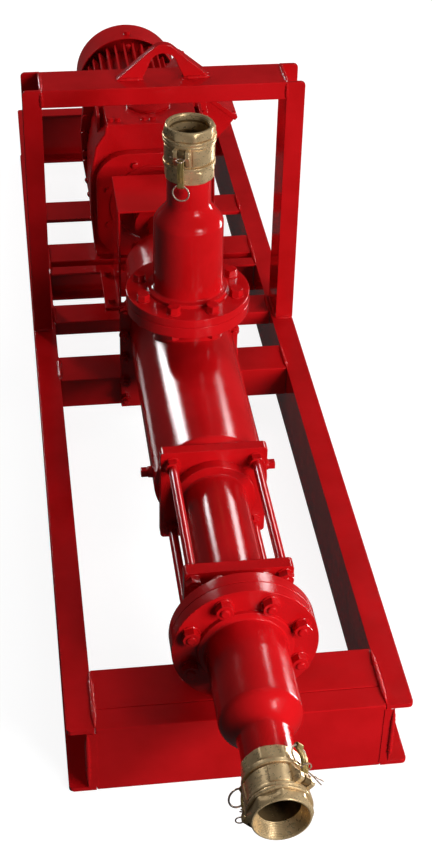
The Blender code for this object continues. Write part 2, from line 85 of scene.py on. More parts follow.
# finishes
def newFinish(name, colour, roughness, metallic=0.0):
    finish = bpy.data.materials.new(name)
    finish.use_nodes = True
    shader = finish.node_tree.nodes["Principled BSDF"]
    shader.inputs["Base Color"].default_value = (*colour, 1)
    shader.inputs["Roughness"].default_value = roughness
    shader.inputs["Metallic"].default_value = metallic
    return finish, finish.node_tree.nodes, finish.node_tree.links, shader


def addNoise(nodes, links, scale, detail=3.0, roughness=0.55):
    place = nodes.new("ShaderNodeTexCoord")
    grain = nodes.new("ShaderNodeTexNoise")
    grain.inputs["Scale"].default_value = scale
    grain.inputs["Detail"].default_value = detail
    grain.inputs["Roughness"].default_value = roughness
    links.new(place.outputs["Object"], grain.inputs["Vector"])
    return grain.outputs["Fac"]


def addRamp(nodes, links, source, stops):
    ramp = nodes.new("ShaderNodeValToRGB")
    ramp.color_ramp.elements[0].position, ramp.color_ramp.elements[1].position = stops[0][0], stops[-1][0]
    for where, colour in stops[1:-1]:
        ramp.color_ramp.elements.new(where)
    for element, (where, colour) in zip(ramp.color_ramp.elements, stops):
        element.color = (*colour, 1) if len(colour) == 3 else (colour[0],) * 3 + (1,)
    links.new(source, ramp.inputs["Fac"])
    return ramp.outputs["Color"]


def addBump(nodes, links, shader, layers):
    normal = None
    for source, strength, depth in layers:
        bump = nodes.new("ShaderNodeBump")
        bump.inputs["Strength"].default_value = strength
        bump.inputs["Distance"].default_value = depth
        links.new(source, bump.inputs["Height"])
        if normal:
            links.new(normal, bump.inputs["Normal"])
        normal = bump.outputs["Normal"]
    links.new(normal, shader.inputs["Normal"])


enamelLook = {
    "thick": (0.500, 0.0050, 0.0075),
    "thin": (0.400, 0.0032, 0.0042),
    "smooth": ((0.10, 0.17), 0.32, 0.16),
    "cast": ((0.12, 0.24), 0.85, 0.40),
}


def makeEnamel(name, texture):
    # the last two numbers of a texture are the strength of its orange peel and of its grit
    (low, high), peelStrength, gritStrength = enamelLook[texture]
    finish, nodes, links, shader = newFinish(name, enamelLook["thick"], low)
    clouds = addNoise(nodes, links, 9.0)
    links.new(addRamp(nodes, links, clouds, [(0.32, enamelLook["thin"]), (0.66, enamelLook["thick"])]),
              shader.inputs["Base Color"])
    sheen = addNoise(nodes, links, 38.0)
    links.new(addRamp(nodes, links, sheen, [(0.35, (low,)), (0.7, (high,))]), shader.inputs["Roughness"])
    peel = addNoise(nodes, links, 260.0, 2.0)
    grit = addNoise(nodes, links, 900.0, 1.0)
    addBump(nodes, links, shader, [(peel, peelStrength, 0.0006), (grit, gritStrength, 0.00025)])
    return finish


brassLook = {
    # name: bright tone, dull tone, gloss range, grain, metal share
    "castBrass": ((0.80, 0.585, 0.32), (0.60, 0.42, 0.215), (0.24, 0.38), 0.34, 0.7),
    "leverBrass": ((0.50, 0.35, 0.12), (0.24, 0.17, 0.06), (0.26, 0.42), 0.25, 0.6),
    # the darkest brass paints the shade inside the bores, in the cam recesses and on the cams; its noise varies
    # the tone at random
    "shadeDarkBrass": ((0.34, 0.22, 0.10), (0.10, 0.065, 0.03), (0.26, 0.42), 0.30, 0.8),
}


def makeBrass(name):
    bright, dull, gloss, grain, metal = brassLook[name]
    finish, nodes, links, shader = newFinish(name, bright, gloss[0], metal)
    tarnish = addNoise(nodes, links, 42.0, 5.0)
    links.new(addRamp(nodes, links, tarnish, [(0.30, dull), (0.58, bright)]), shader.inputs["Base Color"])
    rub = addNoise(nodes, links, 160.0)
    links.new(addRamp(nodes, links, rub, [(0.3, (gloss[0],)), (0.72, (gloss[1],))]),
              shader.inputs["Roughness"])
    addBump(nodes, links, shader, [(addNoise(nodes, links, 520.0, 3.0), grain, 0.0003)])
    return finish


def makeWireSteel():
    finish, nodes, links, shader = newFinish("wireSteel", (0.75, 0.62, 0.50), 0.25, 0.7)
    # random reddish-brown blotches in the steel's colour
    warmBlotches = addNoise(nodes, links, 300.0)
    links.new(addRamp(nodes, links, warmBlotches, [(0.35, (0.50, 0.30, 0.20)), (0.6, (0.80, 0.66, 0.54))]),
              shader.inputs["Base Color"])
    addBump(nodes, links, shader, [(addNoise(nodes, links, 1500.0, 2.0), 0.2, 0.0002)])
    return finish


redEnamel, castEnamel = makeEnamel("redEnamel", "smooth"), makeEnamel("castEnamel", "cast")
castBrass, leverBrass, shadeDarkBrass = [makeBrass(name) for name in brassLook]
wireSteel = makeWireSteel()
print("finishes mixed")


# shapes
def rounded(points, radius, steps=3, cyclic=True):
    made = []
    count = len(points)
    for index, point in enumerate(points):
        here = Vector(point).to_2d()
        size = radius[index] if isinstance(radius, (list, tuple)) else radius
        if size <= 0 or (not cyclic and index in (0, count - 1)):
            made.append(tuple(here))
            continue
        before = Vector(points[index - 1]).to_2d() - here
        after = Vector(points[(index + 1) % count]).to_2d() - here
        angle = before.angle(after)
        if angle > math.radians(172):
            made.append(tuple(here))
            continue
        cut = min(size / math.tan(angle / 2), before.length * 0.49, after.length * 0.49)
        size = cut * math.tan(angle / 2)
        start, end = here + before.normalized() * cut, here + after.normalized() * cut
        centre = here + (before.normalized() + after.normalized()).normalized() * size / math.sin(angle / 2)
        for step in range(steps + 1):
            arm = (start - centre).lerp(end - centre, step / steps)
            made.append(tuple(centre + arm.normalized() * size))
    return made


def ringOf(radius, count, centre=(0, 0), turn=0.0):
    return [(centre[0] + radius * math.cos(math.tau * step / count + turn),
             centre[1] + radius * math.sin(math.tau * step / count + turn)) for step in range(count)]


def arcOf(centre, radius, start, end, steps):
    angles = [math.radians(start + (end - start) * step / steps) for step in range(steps + 1)]
    return [(centre[0] + radius * math.cos(a), centre[1] + radius * math.sin(a)) for a in angles]


def takeMesh(thing):
    bpy.context.scene.collection.objects.link(thing)
    bpy.context.view_layer.update()
    mesh = bpy.data.meshes.new_from_object(thing.evaluated_get(bpy.context.evaluated_depsgraph_get()))
    bpy.data.objects.remove(thing)
    solid = bmesh.new()
    solid.from_mesh(mesh)
    bmesh.ops.remove_doubles(solid, verts=solid.verts, dist=0.0004)
    bmesh.ops.recalc_face_normals(solid, faces=solid.faces)
    solid.to_mesh(mesh)
    solid.free()
    return mesh


def plate(outlines, length, edge=0.0, steps=2):
    curve = bpy.data.curves.new("plate", "CURVE")
    curve.dimensions = "2D"
    curve.fill_mode = "BOTH"
    curve.extrude = length / 2 - edge
    curve.bevel_depth = edge
    curve.bevel_resolution = steps
    curve.offset = -edge
    for outline in outlines:
        spline = curve.splines.new("POLY")
        spline.points.add(len(outline) - 1)
        for point, (across, along) in zip(spline.points, outline):
            point.co = (across, along, 0, 1)
        spline.use_cyclic_u = True
    mesh = takeMesh(bpy.data.objects.new("plate", curve))
    mesh.transform(Matrix.Translation((0, 0, length / 2)))
    return mesh


def lathe(profile, steps=64, closed=False):
    solid = bmesh.new()
    verts = [solid.verts.new((max(radius, 0), 0, height)) for radius, height in profile]
    edges = [solid.edges.new(pair) for pair in zip(verts, verts[1:])]
    if closed:
        edges.append(solid.edges.new((verts[-1], verts[0])))
    bmesh.ops.spin(solid, geom=verts + edges, axis=(0, 0, 1), cent=(0, 0, 0), steps=steps,
                   angle=math.tau, use_duplicate=False)
    bmesh.ops.remove_doubles(solid, verts=solid.verts, dist=0.0004)
    bmesh.ops.recalc_face_normals(solid, faces=solid.faces)
    mesh = bpy.data.meshes.new("lathe")
    solid.to_mesh(mesh)
    solid.free()
    return mesh


def wire(points, radius, cyclic=False, sides=3):
    curve = bpy.data.curves.new("wire", "CURVE")
    curve.dimensions = "3D"
    curve.bevel_depth = radius
    curve.bevel_resolution = sides
    curve.use_fill_caps = True
    spline = curve.splines.new("POLY")
    spline.points.add(len(points) - 1)
    for point, place in zip(spline.points, points):
        point.co = (*place, 1)
    spline.use_cyclic_u = cyclic
    return takeMesh(bpy.data.objects.new("wire", curve))


def gathered(parts):
    whole = bmesh.new()
    for mesh, place in parts:
        copied = mesh.copy()
        copied.transform(place)
        whole.from_mesh(copied)
        bpy.data.meshes.remove(copied)
    mesh = bpy.data.meshes.new("gathered")
    whole.to_mesh(mesh)
    whole.free()
    return mesh


def addPiece(name, mesh, place=None, finish=None, body=skid, standsFor=(),
             soft=0.0, sharpAngle=32, softSteps=2):
    mesh = mesh.copy()
    if place is not None:
        mesh.transform(place)
    if place is not None and place.determinant() < 0:
        mesh.flip_normals()
    mesh.materials.clear()
    mesh.materials.append(finish or redEnamel)
    piece = bpy.data.objects.new(name, mesh)
    bpy.context.scene.collection.objects.link(piece)
    mesh.shade_smooth()
    if soft:
        bevel = piece.modifiers.new("softEdges", "BEVEL")
        bevel.width = soft
        bevel.segments = softSteps
        bevel.limit_method = "ANGLE"
        bevel.angle_limit = math.radians(sharpAngle)
        bevel.miter_outer = "MITER_ARC"
    else:
        mesh.set_sharp_from_angle(angle=math.radians(sharpAngle))
    weighted = piece.modifiers.new("evenShading", "WEIGHTED_NORMAL")
    weighted.keep_sharp = True
    if standsFor:
        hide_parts(*standsFor)
    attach(piece, body)
    return piece


def softenedCopy(name, node, soft=0.0022, finish=None):
    solid = bmesh.new()
    solid.from_mesh(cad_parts[node].data)
    bmesh.ops.remove_doubles(solid, verts=solid.verts, dist=0.00002)
    bmesh.ops.dissolve_limit(solid, angle_limit=0.02, verts=solid.verts, edges=solid.edges)
    mesh = bpy.data.meshes.new(name)
    solid.to_mesh(mesh)
    solid.free()
    return addPiece(name, mesh, finish=finish, standsFor=[node], soft=soft)


# fasteners
def hexHead(across=1.0, height=0.62, washer=0.0, stud=0.0):
    corner = across / math.sqrt(3)
    solid = bmesh.new()
    rings = [(corner, 0.0), (corner, height * 0.80), (corner * 0.90, height * 0.97), (corner * 0.80, height)]
    made = []
    for radius, up in rings:
        sides = 24
        ring = []
        for step in range(sides):
            angle = math.tau * step / sides
            flat = (across / 2) / math.cos((angle + math.pi / 6) % (math.pi / 3) - math.pi / 6)
            reach = min(flat, radius)
            ring.append(solid.verts.new((reach * math.cos(angle), reach * math.sin(angle), up)))
        made.append(ring)
    for low, high in zip(made, made[1:]):
        for step in range(len(low)):
            following = (step + 1) % len(low)
            solid.faces.new((low[step], low[following], high[following], high[step]))
    solid.faces.new(made[-1])
    solid.faces.new(list(reversed(made[0])))
    head = bpy.data.meshes.new("head")
    solid.to_mesh(head)
    solid.free()
    parts = [(head, shift(0, 0, washer))]
    if washer:
        rim = across * 0.62
        parts.append((lathe([(0, washer), (rim - 0.03, washer), (rim, washer - 0.03), (rim, 0), (0, 0)], 24),
                      Matrix.Identity(4)))
    if stud:
        thick = across * 0.30
        top = washer + height + stud
        profile = [(0, top), (thick * 0.75, top), (thick, top - 0.06)]
        for turn in range(int(stud / 0.09)):
            profile += [(thick * 0.93, top - 0.10 - turn * 0.09), (thick, top - 0.145 - turn * 0.09)]
        profile += [(thick, washer + height * 0.6), (0, washer + height * 0.6)]
        parts.append((lathe(profile, 20), Matrix.Identity(4)))
    return gathered(parts)


def boltsAt(name, mesh, places, finish=None, body=skid):
    return addPiece(name, gathered([(mesh, place) for place in places]),
                    finish=finish, body=body, sharpAngle=28)


def weldBead(name, runs, thick=0.16):
    solid = bmesh.new()
    sides = 8
    for run, (start, end) in enumerate(runs):
        start, end = Vector(start), Vector(end)
        along = end - start
        steps = max(4, int(along.length / 0.09))
        side = along.orthogonal().normalized()
        other = along.normalized().cross(side)
        last = None
        for step in range(steps + 1):
            share = step / steps
            ripple = 0.82 + 0.18 * abs(math.sin(step * 1.15))
            ripple += 0.22 * noise.noise(Vector((run * 3.7, step * 0.31, 0)))
            ends = min(1, 4 * min(share, 1 - share) + 0.25)
            radius = thick * ripple * ends
            centre = start + along * share
            ring = []
            for turn in range(sides):
                angle = math.tau * turn / sides
                ring.append(solid.verts.new(spot(*(centre + radius * (side * math.cos(angle)
                                                                      + other * math.sin(angle))))))
            if last:
                for turn in range(sides):
                    following = (turn + 1) % sides
                    solid.faces.new((last[turn], last[following], ring[following], ring[turn]))
            else:
                solid.faces.new(list(reversed(ring)))
            last = ring
        solid.faces.new(last)
    bmesh.ops.recalc_face_normals(solid, faces=solid.faces)
    mesh = bpy.data.meshes.new(name)
    solid.to_mesh(mesh)
    solid.free()
    return addPiece(name, mesh, sharpAngle=60)


# the skid and its lift frame
skidSteel = {"edgeSoftness": 0.0028, "plateSoftness": 0.0016, "bead": 0.2}
for node in ("rail_left", "rail_right", "front_end_channel", "rear_end_channel", "front_crossmember",
             "pump_crossmember", "frame_crossmember", "guard_crossmember", "gearbox_crossmember"):
    softenedCopy(node + "_rolled", node, skidSteel["edgeSoftness"])
for node in ("lift_post_left", "lift_post_right", "lift_beam"):
    softenedCopy(node + "_rolled", node, skidSteel["edgeSoftness"])
for node in ("lifting_lug", "motor_crossmember", "pump_rear_support", "coupling_guard"):
    softenedCopy(node + "_plate", node, skidSteel["plateSoftness"])
for node in ("gearbox_output_flange", "gearbox_housing", "motor_flange", "terminal_box"):
    softenedCopy(node + "_casting", node, skidSteel["plateSoftness"], castEnamel)
endFace = plate([[(-0.33, 0.36), (0.33, 0.36), (0.33, 5.64), (-0.33, 5.64)]], 0.07, 0.02)
addPiece("front_channel_ends", gathered([(endFace, facingFront(side * 10.29, 0.02, 0)) for side in (-1, 1)]))
beads = []
for side in (-1, 1):
    inside = side * 10.08
    beads += [((side * 10.62, -0.03, 0.5), (side * 10.62, -0.03, 5.7)),
              ((inside, 0.2, 6.03), (inside, 5.5, 6.03)),
              ((inside, 41.7, 6.02), (inside, 45.3, 6.02)), ((inside, 51.2, 6.02), (inside, 54.1, 6.02)),
              ((inside, 59.9, 6.02), (inside, 65.6, 6.02)), ((inside, 70.7, 6.02), (inside, 74.3, 6.02)),
              ((inside, 95.0, 6.02), (inside, 96.7, 6.02))]
weldBead("skid_joint_welds", beads, skidSteel["bead"])
beads = []
for side in (-1, 1):
    inside, outside = side * 10.42, side * 11.95
    beads += [((inside, 49.9, 6.03), (outside, 49.9, 6.03)), ((inside, 53.9, 6.03), (outside, 53.9, 6.03)),
              ((inside, 49.9, 6.03), (inside, 53.9, 6.03)),
              ((inside, 49.95, 28.1), (inside, 49.95, 29.6)), ((inside, 49.95, 29.62), (inside, 53.85, 29.62)),
              ((inside, 53.85, 28.1), (inside, 53.85, 29.6))]
lugY = 51.9
for side in (-0.375, 0.375):
    beads += [((-4.0, lugY + side, 29.68), (-1.7, lugY + side, 29.68)),
              ((4.0, lugY + side, 29.68), (1.7, lugY + side, 29.68))]
weldBead("lift_frame_welds", beads, skidSteel["bead"])
print("skid welded")


# pipe flanges, spools and the pump's own castings
flangeLook = {"radius": 5.0, "thick": 0.94, "edge": 0.06, "boltCircle": 4.05, "boltAcross": 1.06,
              "boltHeight": 0.56, "hub": 3.28, "pipe": 2.78, "bore": 2.52, "neck": 1.75, "neckBore": 1.5}


def spoolProfile(straight, thick):
    look = flangeLook
    shoulder = look["thick"] + straight
    neck = shoulder + 1.9
    end = neck + 2.1 + 0.8
    swell = [(look["neck"] + (look["pipe"] - look["neck"]) * (1 + math.cos(math.pi * t / 16)) / 2,
              shoulder + 1.9 * t / 16) for t in range(16, -1, -1)]
    flange = rounded([(0, thick + 0.9), (look["pipe"] + 0.02, thick + 0.9), (look["pipe"] + 0.05, thick + 0.42),
                      (look["pipe"] + 0.16, thick + 0.34), (look["hub"], thick + 0.28),
                      (look["hub"] + 0.03, thick), (look["radius"], thick), (look["radius"], 0), (0, 0)],
                     [0, 0, 0.1, 0.05, 0.1, 0.03, look["edge"], look["edge"], 0])
    return ([(look["neck"], end)] + swell + flange[1:-1]
            + [(look["bore"], 0), (look["bore"], shoulder), (look["neckBore"], neck),
               (look["neckBore"], end)])


def flangeBolts(name, place, height, across, stud, backPlace, backHeight):
    front = hexHead(across, flangeLook["boltHeight"], 0.08, stud)
    back = hexHead(across, flangeLook["boltHeight"], 0.08, 0.2)
    parts = []
    for step in range(8):
        turn = spin(22.5 + 45 * step)
        parts.append((front, place @ turn @ shift(flangeLook["boltCircle"], 0, height) @ spin(15 + 37 * step)))
        parts.append((back, backPlace @ turn @ shift(flangeLook["boltCircle"], 0, backHeight)
                      @ spin(40 + 23 * step)))
    return addPiece(name, gathered(parts), sharpAngle=28)


dischargePlace = facingFront(pumpX, 2.37, pumpZ)
suctionPlace = facingUp(pumpX, 35.05, 18.26)
addPiece("discharge_spool_body", lathe(spoolProfile(6.5, 0.94), 96, closed=True), dischargePlace,
         standsFor=["discharge_spool"], sharpAngle=40)
addPiece("suction_spool_body", lathe(spoolProfile(5.9, 0.72), 96, closed=True), suctionPlace,
         standsFor=["suction_spool"], sharpAngle=40)
flangeBolts("discharge_flange_bolts", dischargePlace, 0.94, 1.1, 0.14, facingBack(pumpX, 2.37, pumpZ), 0.95)
flangeBolts("suction_flange_bolts", suctionPlace, 0.72, 0.92, 0.0, facing(pumpX, 35.05, 18.24, spin(180, "X")),
            0.95)
print("spools turned")

pumpLook = {"headSide": 7.5, "headCorner": 0.25, "housingSide": 8.0, "barrel": 4.33, "stator": 2.42,
            "rod": 0.36, "rodX": 3.12, "rodZ": 2.95}
rodSpots = [(x, z) for x in (-pumpLook["rodX"], pumpLook["rodX"])
            for z in (-pumpLook["rodZ"], pumpLook["rodZ"])]


def squareOutline(side, corner):
    half = side / 2
    return rounded([(-half, -half), (half, -half), (half, half), (-half, half)], corner, 5)


rodHoles = [ringOf(pumpLook["rod"] + 0.012, 24, centre) for centre in rodSpots]
headPlate = plate([squareOutline(7.5, 0.25), ringOf(2.52, 48)] + rodHoles, 1.0, 0.05)
headNeck = lathe(rounded([(2.52, 2.68), (2.78, 2.68), (2.80, 1.3), (3.2, 1.02), (3.2, 0.94), (5.0, 0.94),
                          (5.0, 0), (2.52, 0)], [0, 0, 0.3, 0.08, 0.03, 0.06, 0.06, 0]), 96, closed=True)
addPiece("discharge_head_casting", gathered([(headPlate, facingBack(pumpX, 4.95, pumpZ)),
                                             (headNeck, facingBack(pumpX, 2.382, pumpZ))]),
         standsFor=["discharge_head"], sharpAngle=40)

statorLength = 18.0 - 5.95 - 0.024
statorProfile = rounded([(0, statorLength), (3.1, statorLength), (3.1, statorLength - 0.8),
                         (2.5, statorLength - 0.92), (2.42, statorLength - 1.1), (2.42, 0.9), (2.62, 0.75),
                         (2.62, 0), (0, 0)], [0, 0.02, 0.12, 0.05, 0.3, 0.05, 0.1, 0, 0])
addPiece("stator_shell", lathe(statorProfile, 96), facingBack(pumpX, 5.962, pumpZ),
         standsFor=["stator_tube"], sharpAngle=40)

rodLength = 18.9 - 4.25 - 0.012
rodProfile = [(0, rodLength), (0.30, rodLength), (0.36, rodLength - 0.06)]
rodProfile += [(0.36, 0.06), (0.30, 0), (0, 0)]
for number, (x, z) in enumerate(rodSpots, 1):
    addPiece("tie_rod_" + str(number) + "_bar", lathe(rodProfile, 32), facingBack(pumpX + x, 4.25, pumpZ + z),
             standsFor=["tie_rod_" + str(number)], sharpAngle=40)
nut = hexHead(1.05, 0.55, 0.07, 0.0)
places = [facingFront(pumpX + x, 4.95, pumpZ + z) @ spin(17 * k) for k, (x, z) in enumerate(rodSpots)]
places += [facingFront(pumpX + x, 18.0, pumpZ + z) @ spin(31 * k) for k, (x, z) in enumerate(rodSpots)]
boltsAt("tie_rod_nuts", nut, places)
print("pump end assembled")

housingPlate = plate([squareOutline(8.0, 0.3)] + rodHoles, 0.9, 0.06)
barrelLength = 40.5 - 18.9 + 0.02
barrel = lathe(rounded([(0, barrelLength), (4.33, barrelLength), (4.33, 0.5), (3.85, 0.02), (0, 0)],
                       [0, 0.08, 0.4, 0.1, 0], 4), 128)
nozzleLength = 18.26 - 0.012 - pumpZ
nozzle = lathe(rounded([(2.52, nozzleLength), (5.0, nozzleLength), (5.0, nozzleLength - 0.94),
                        (3.2, nozzleLength - 0.94), (3.15, nozzleLength - 1.1), (2.88, nozzleLength - 1.4),
                        (2.88, 0.5), (2.52, 0.5)], [0, 0.06, 0.06, 0.03, 0.06, 0.3, 0, 0]), 96, closed=True)
addPiece("suction_housing_casting", gathered([(housingPlate, facingBack(pumpX, 18.0, pumpZ)),
                                              (barrel, facingBack(pumpX, 18.88, pumpZ)),
                                              (nozzle, facingUp(pumpX, 35.05, pumpZ))]),
         standsFor=["suction_housing"], sharpAngle=40)
plugHead = plate([rounded([(-0.29, -0.29), (0.29, -0.29), (0.29, 0.29), (-0.29, 0.29)], 0.06)], 0.5, 0.05)
plugBoss = lathe(rounded([(0, 0.35), (0.42, 0.35), (0.46, 0), (0, 0)], [0, 0.08, 0, 0]), 32)
for side, sign in (("left", -1), ("right", 1)):
    out = facingRight(pumpX + sign * 4.33, 21.1, pumpZ) @ spin(0 if sign > 0 else 180, "Y")
    addPiece("housing_plug_" + side + "_body", gathered([(plugBoss, out), (plugHead, out @ shift(0, 0, 0.345))]),
             standsFor=["housing_plug_" + side])

bearingLength = 52.9 - 41.35 - 1.0
bearing = lathe(rounded([(0, bearingLength), (2.6, bearingLength), (2.75, bearingLength - 0.25),
                         (3.75, bearingLength - 0.4), (3.75, 5.4), (3.62, 5.3), (3.62, 4.9), (3.75, 4.8),
                         (3.75, 0.7), (3.9, 0.6), (3.9, 0), (0, 0)],
                        [0, 0.08, 0.1, 0.3, 0.05, 0.05, 0.05, 0.05, 0.05, 0.05, 0, 0]), 96)
addPiece("bearing_housing_casting", bearing, facingBack(pumpX, 41.36, pumpZ), standsFor=["bearing_housing"],
         sharpAngle=40)
supportNut = hexHead(0.8, 0.45, 0.06, 0.3)
places = [facingFront(pumpX + side * 4.72, 40.5, up) @ spin(13 * up)
          for side in (-1, 1) for up in (13.6, 11.2, 8.8, 6.4, 4.6)]
boltsAt("rear_support_nuts", supportNut, places)
guardBolt = hexHead(0.62, 0.36, 0.06)
boltsAt("guard_foot_bolts", guardBolt, [facingUp(pumpX + side * 4.85, y, 6.2) for side in (-1, 1)
                                        for y in (53.9, 58.9)])
print("housing cast")


# the motor
motorLook = {"fins": 32, "finRoot": 4.1, "finTip": 5.0, "finThick": 0.27, "start": 73.4, "end": 90.35}


def makeMotorFins():
    parts = []
    length = motorLook["end"] - motorLook["start"]
    fin = plate([rounded([(motorLook["finRoot"] - 0.1, -motorLook["finThick"] / 2),
                          (motorLook["finTip"], -motorLook["finThick"] / 2 + 0.02),
                          (motorLook["finTip"], motorLook["finThick"] / 2 - 0.02),
                          (motorLook["finRoot"] - 0.1, motorLook["finThick"] / 2)], [0, 0.05, 0.05, 0], 2)],
                length)
    for step in range(motorLook["fins"]):
        turn = 360 * (step + 0.5) / motorLook["fins"]
        parts.append((fin, facingBack(pumpX, motorLook["start"], 11.5) @ spin(turn)))
    startFlange = [(0, 18.67), (3.8, 18.67), (4.1, 18.55), (4.1, 1.7), (4.7, 1.55), (5.0, 1.2), (5.0, 0),
                   (0, 0)]
    parts.append((lathe(rounded(startFlange, [0, 0.1, 0.1, 0.05, 0.1, 0.2, 0, 0]), 96),
                  facingBack(pumpX, 71.72, 11.5)))
    return gathered(parts)


addPiece("motor_finned_frame", makeMotorFins(), finish=castEnamel, standsFor=["motor_body"], sharpAngle=35)
cowlProfile = rounded([(0, 3.87), (5.45, 3.87), (5.45, 0.0), (5.33, 0.0), (5.30, 3.4), (0, 3.5)],
                      [0, 0.13, 0.03, 0.03, 0.1, 0], 4)
addPiece("fan_cowl_pressing", lathe(cowlProfile, 128), facingBack(pumpX, 90.42, 11.5), standsFor=["fan_cowl"],
         sharpAngle=40)
cowlScrew = hexHead(0.62, 0.32, 0.08)
places = [facingBack(pumpX, 91.5, 11.5) @ spin(90 * k) @ shift(0, -5.42, 0) @ spin(90, "X") for k in range(4)]
boltsAt("fan_cowl_screws", cowlScrew, places)
lug = lathe(rounded([(0, 0.95), (0.20, 0.95), (0.26, 0.85), (0.30, 0), (0, 0)], [0, 0.05, 0.05, 0, 0]), 24)
places = [facingBack(pumpX, y, 11.5) @ spin(90 * k) @ shift(0, -4.1, 0) @ spin(90, "X")
          for k in range(4) for y in (74.2, 89.6)]
boltsAt("motor_frame_bosses", lug, places)

# the gearbox's fasteners, ribs and cover, and the terminal box lid
smallBolt = hexHead(0.52, 0.3, 0.05)
places = [facingUp(pumpX + x, 64.1, 19.9) for x in (-3.95, -3.25, -0.75, 0.1, 3.25, 3.95)]
places += [facingFront(pumpX + side * x, 70.62, up) @ spin(19 * up) for side in (-1, 1)
           for x, up in ((5.95, 17.3), (6.12, 15.6), (6.08, 13.5), (6.0, 12.6), (5.85, 10.4), (5.65, 8.8))]
places += [facingFront(pumpX, 62.22, 11.8) @ spin(22.5 + 45 * k) @ shift(4.75, 0, 0) for k in range(8)]
boltsAt("gearbox_bolts", smallBolt, places)
coverRing = lathe(rounded([(3.6, 0), (3.6, 0.14), (3.8, 0.22), (4.25, 0.22), (4.32, 0)],
                          [0, 0.06, 0.05, 0.08, 0]), 96, closed=True)
addPiece("gearbox_cover_ring", coverRing, facingFront(pumpX, 62.24, 11.8), castEnamel, sharpAngle=40)
rib = plate([rounded([(-2.05, -1.3), (2.05, -1.3), (2.05, 0.75), (-1.7, 0.75)], [0, 0, 0.2, 0.5], 4)], 0.3, 0.06)
addPiece("gearbox_ribs", gathered([(rib, facingRight(pumpX + side * 4.95 - 0.15, 67.6, 18.9))
                                   for side in (-1, 1)]), finish=castEnamel)
rimPath = [(5.6, 6.5), (5.93, 11), (5.83, 14.7), (5.3, 17.6), (4.42, 18.95), (4.3, 19.75)]
rims = []
for side in (-1, 1):
    rims.append((wire([(side * x, up, 0) for x, up in rimPath], 0.17, sides=2), facingFront(pumpX, 63.3, 0)))
addPiece("gearbox_front_rim", gathered(rims), finish=castEnamel, sharpAngle=50)
lidPlace = facingFront(pumpX, 79.9, 11.5) @ spin(51)
lid = plate([rounded([(8.97, -4.62), (9.42, -4.62), (9.42, 2.02), (8.97, 2.02)], 0.06, 2)], 7.8, 0.04)
screw = lathe(rounded([(0, 0.2), (0.12, 0.2), (0.2, 0.1), (0.2, 0), (0, 0)], [0, 0, 0.05, 0, 0]), 20)
parts = [(lid, lidPlace)]
for along in (0.5, 7.3):
    for across in (-4.2, 1.6):
        parts.append((screw, lidPlace @ shift(9.4, across, along) @ spin(90, "Y")))
gland = lathe(rounded([(0, 0.95), (0.42, 0.95), (0.42, 0.6), (0.62, 0.55), (0.62, 0), (0, 0)], [0, 0.1, 0.05, 0.05, 0, 0]), 6)
parts.append((gland, lidPlace @ shift(7.7, -4.45, 2.6) @ spin(90, "X")))
addPiece("terminal_box_lid", gathered(parts), finish=castEnamel, sharpAngle=35)
print("motor built")


# the couplings
couplingLook = {"collar": 1.86, "collarCorner": 1.99, "band": 2.03, "cup": 1.96, "bead": 2.08, "head": 1.88,
                "rim": 1.86, "padTurn": 41, "padHalf": 19, "earThick": 0.33,
                "bow": 0.17}


def octagonTurned(profile, halfFlat, turn, steps=96):
    # a turned profile whose outside is cut back to eight flats
    solid = bmesh.new()
    loops = []
    for step in range(steps):
        angle = math.tau * step / steps
        flat = halfFlat / math.cos((angle + math.pi / 8) % (math.pi / 4) - math.pi / 8)
        swing = angle + math.radians(turn)
        loops.append([solid.verts.new((min(radius, flat) * math.cos(swing), min(radius, flat) * math.sin(swing),
                                       height)) for radius, height in profile])
    for step, loop in enumerate(loops):
        following = loops[(step + 1) % steps]
        for point in range(len(loop)):
            other = (point + 1) % len(loop)
            solid.faces.new((loop[point], following[point], following[other], loop[other]))
    bmesh.ops.recalc_face_normals(solid, faces=solid.faces)
    mesh = bpy.data.meshes.new("octagonTurned")
    solid.to_mesh(mesh)
    solid.free()
    return mesh


def bentPad(inner, outer, low, high, halfAngle, turn, edge=0.03, steps=12):
    solid = bmesh.new()
    loops = []
    small = math.degrees(edge / outer)
    angles = [-halfAngle, -halfAngle + small] + [-halfAngle + 2 * halfAngle * t / steps
                                                 for t in range(1, steps)] + [halfAngle - small, halfAngle]
    for index, angle in enumerate(angles):
        cut = edge if index in (0, len(angles) - 1) else 0
        swing = math.radians(angle + turn)
        ring = [(inner, low), (outer - edge, low), (outer - cut, low + edge), (outer - cut, high - edge),
                (outer - edge, high), (inner, high)]
        loops.append([solid.verts.new((radius * math.cos(swing), radius * math.sin(swing), height))
                      for radius, height in ring])
    for loop, following in zip(loops, loops[1:]):
        for point in range(6):
            other = (point + 1) % 6
            solid.faces.new((loop[point], following[point], following[other], loop[other]))
    solid.faces.new(loops[0])
    solid.faces.new(loops[-1])
    bmesh.ops.recalc_face_normals(solid, faces=solid.faces)
    mesh = bpy.data.meshes.new("bentPad")
    solid.to_mesh(mesh)
    solid.free()
    return mesh


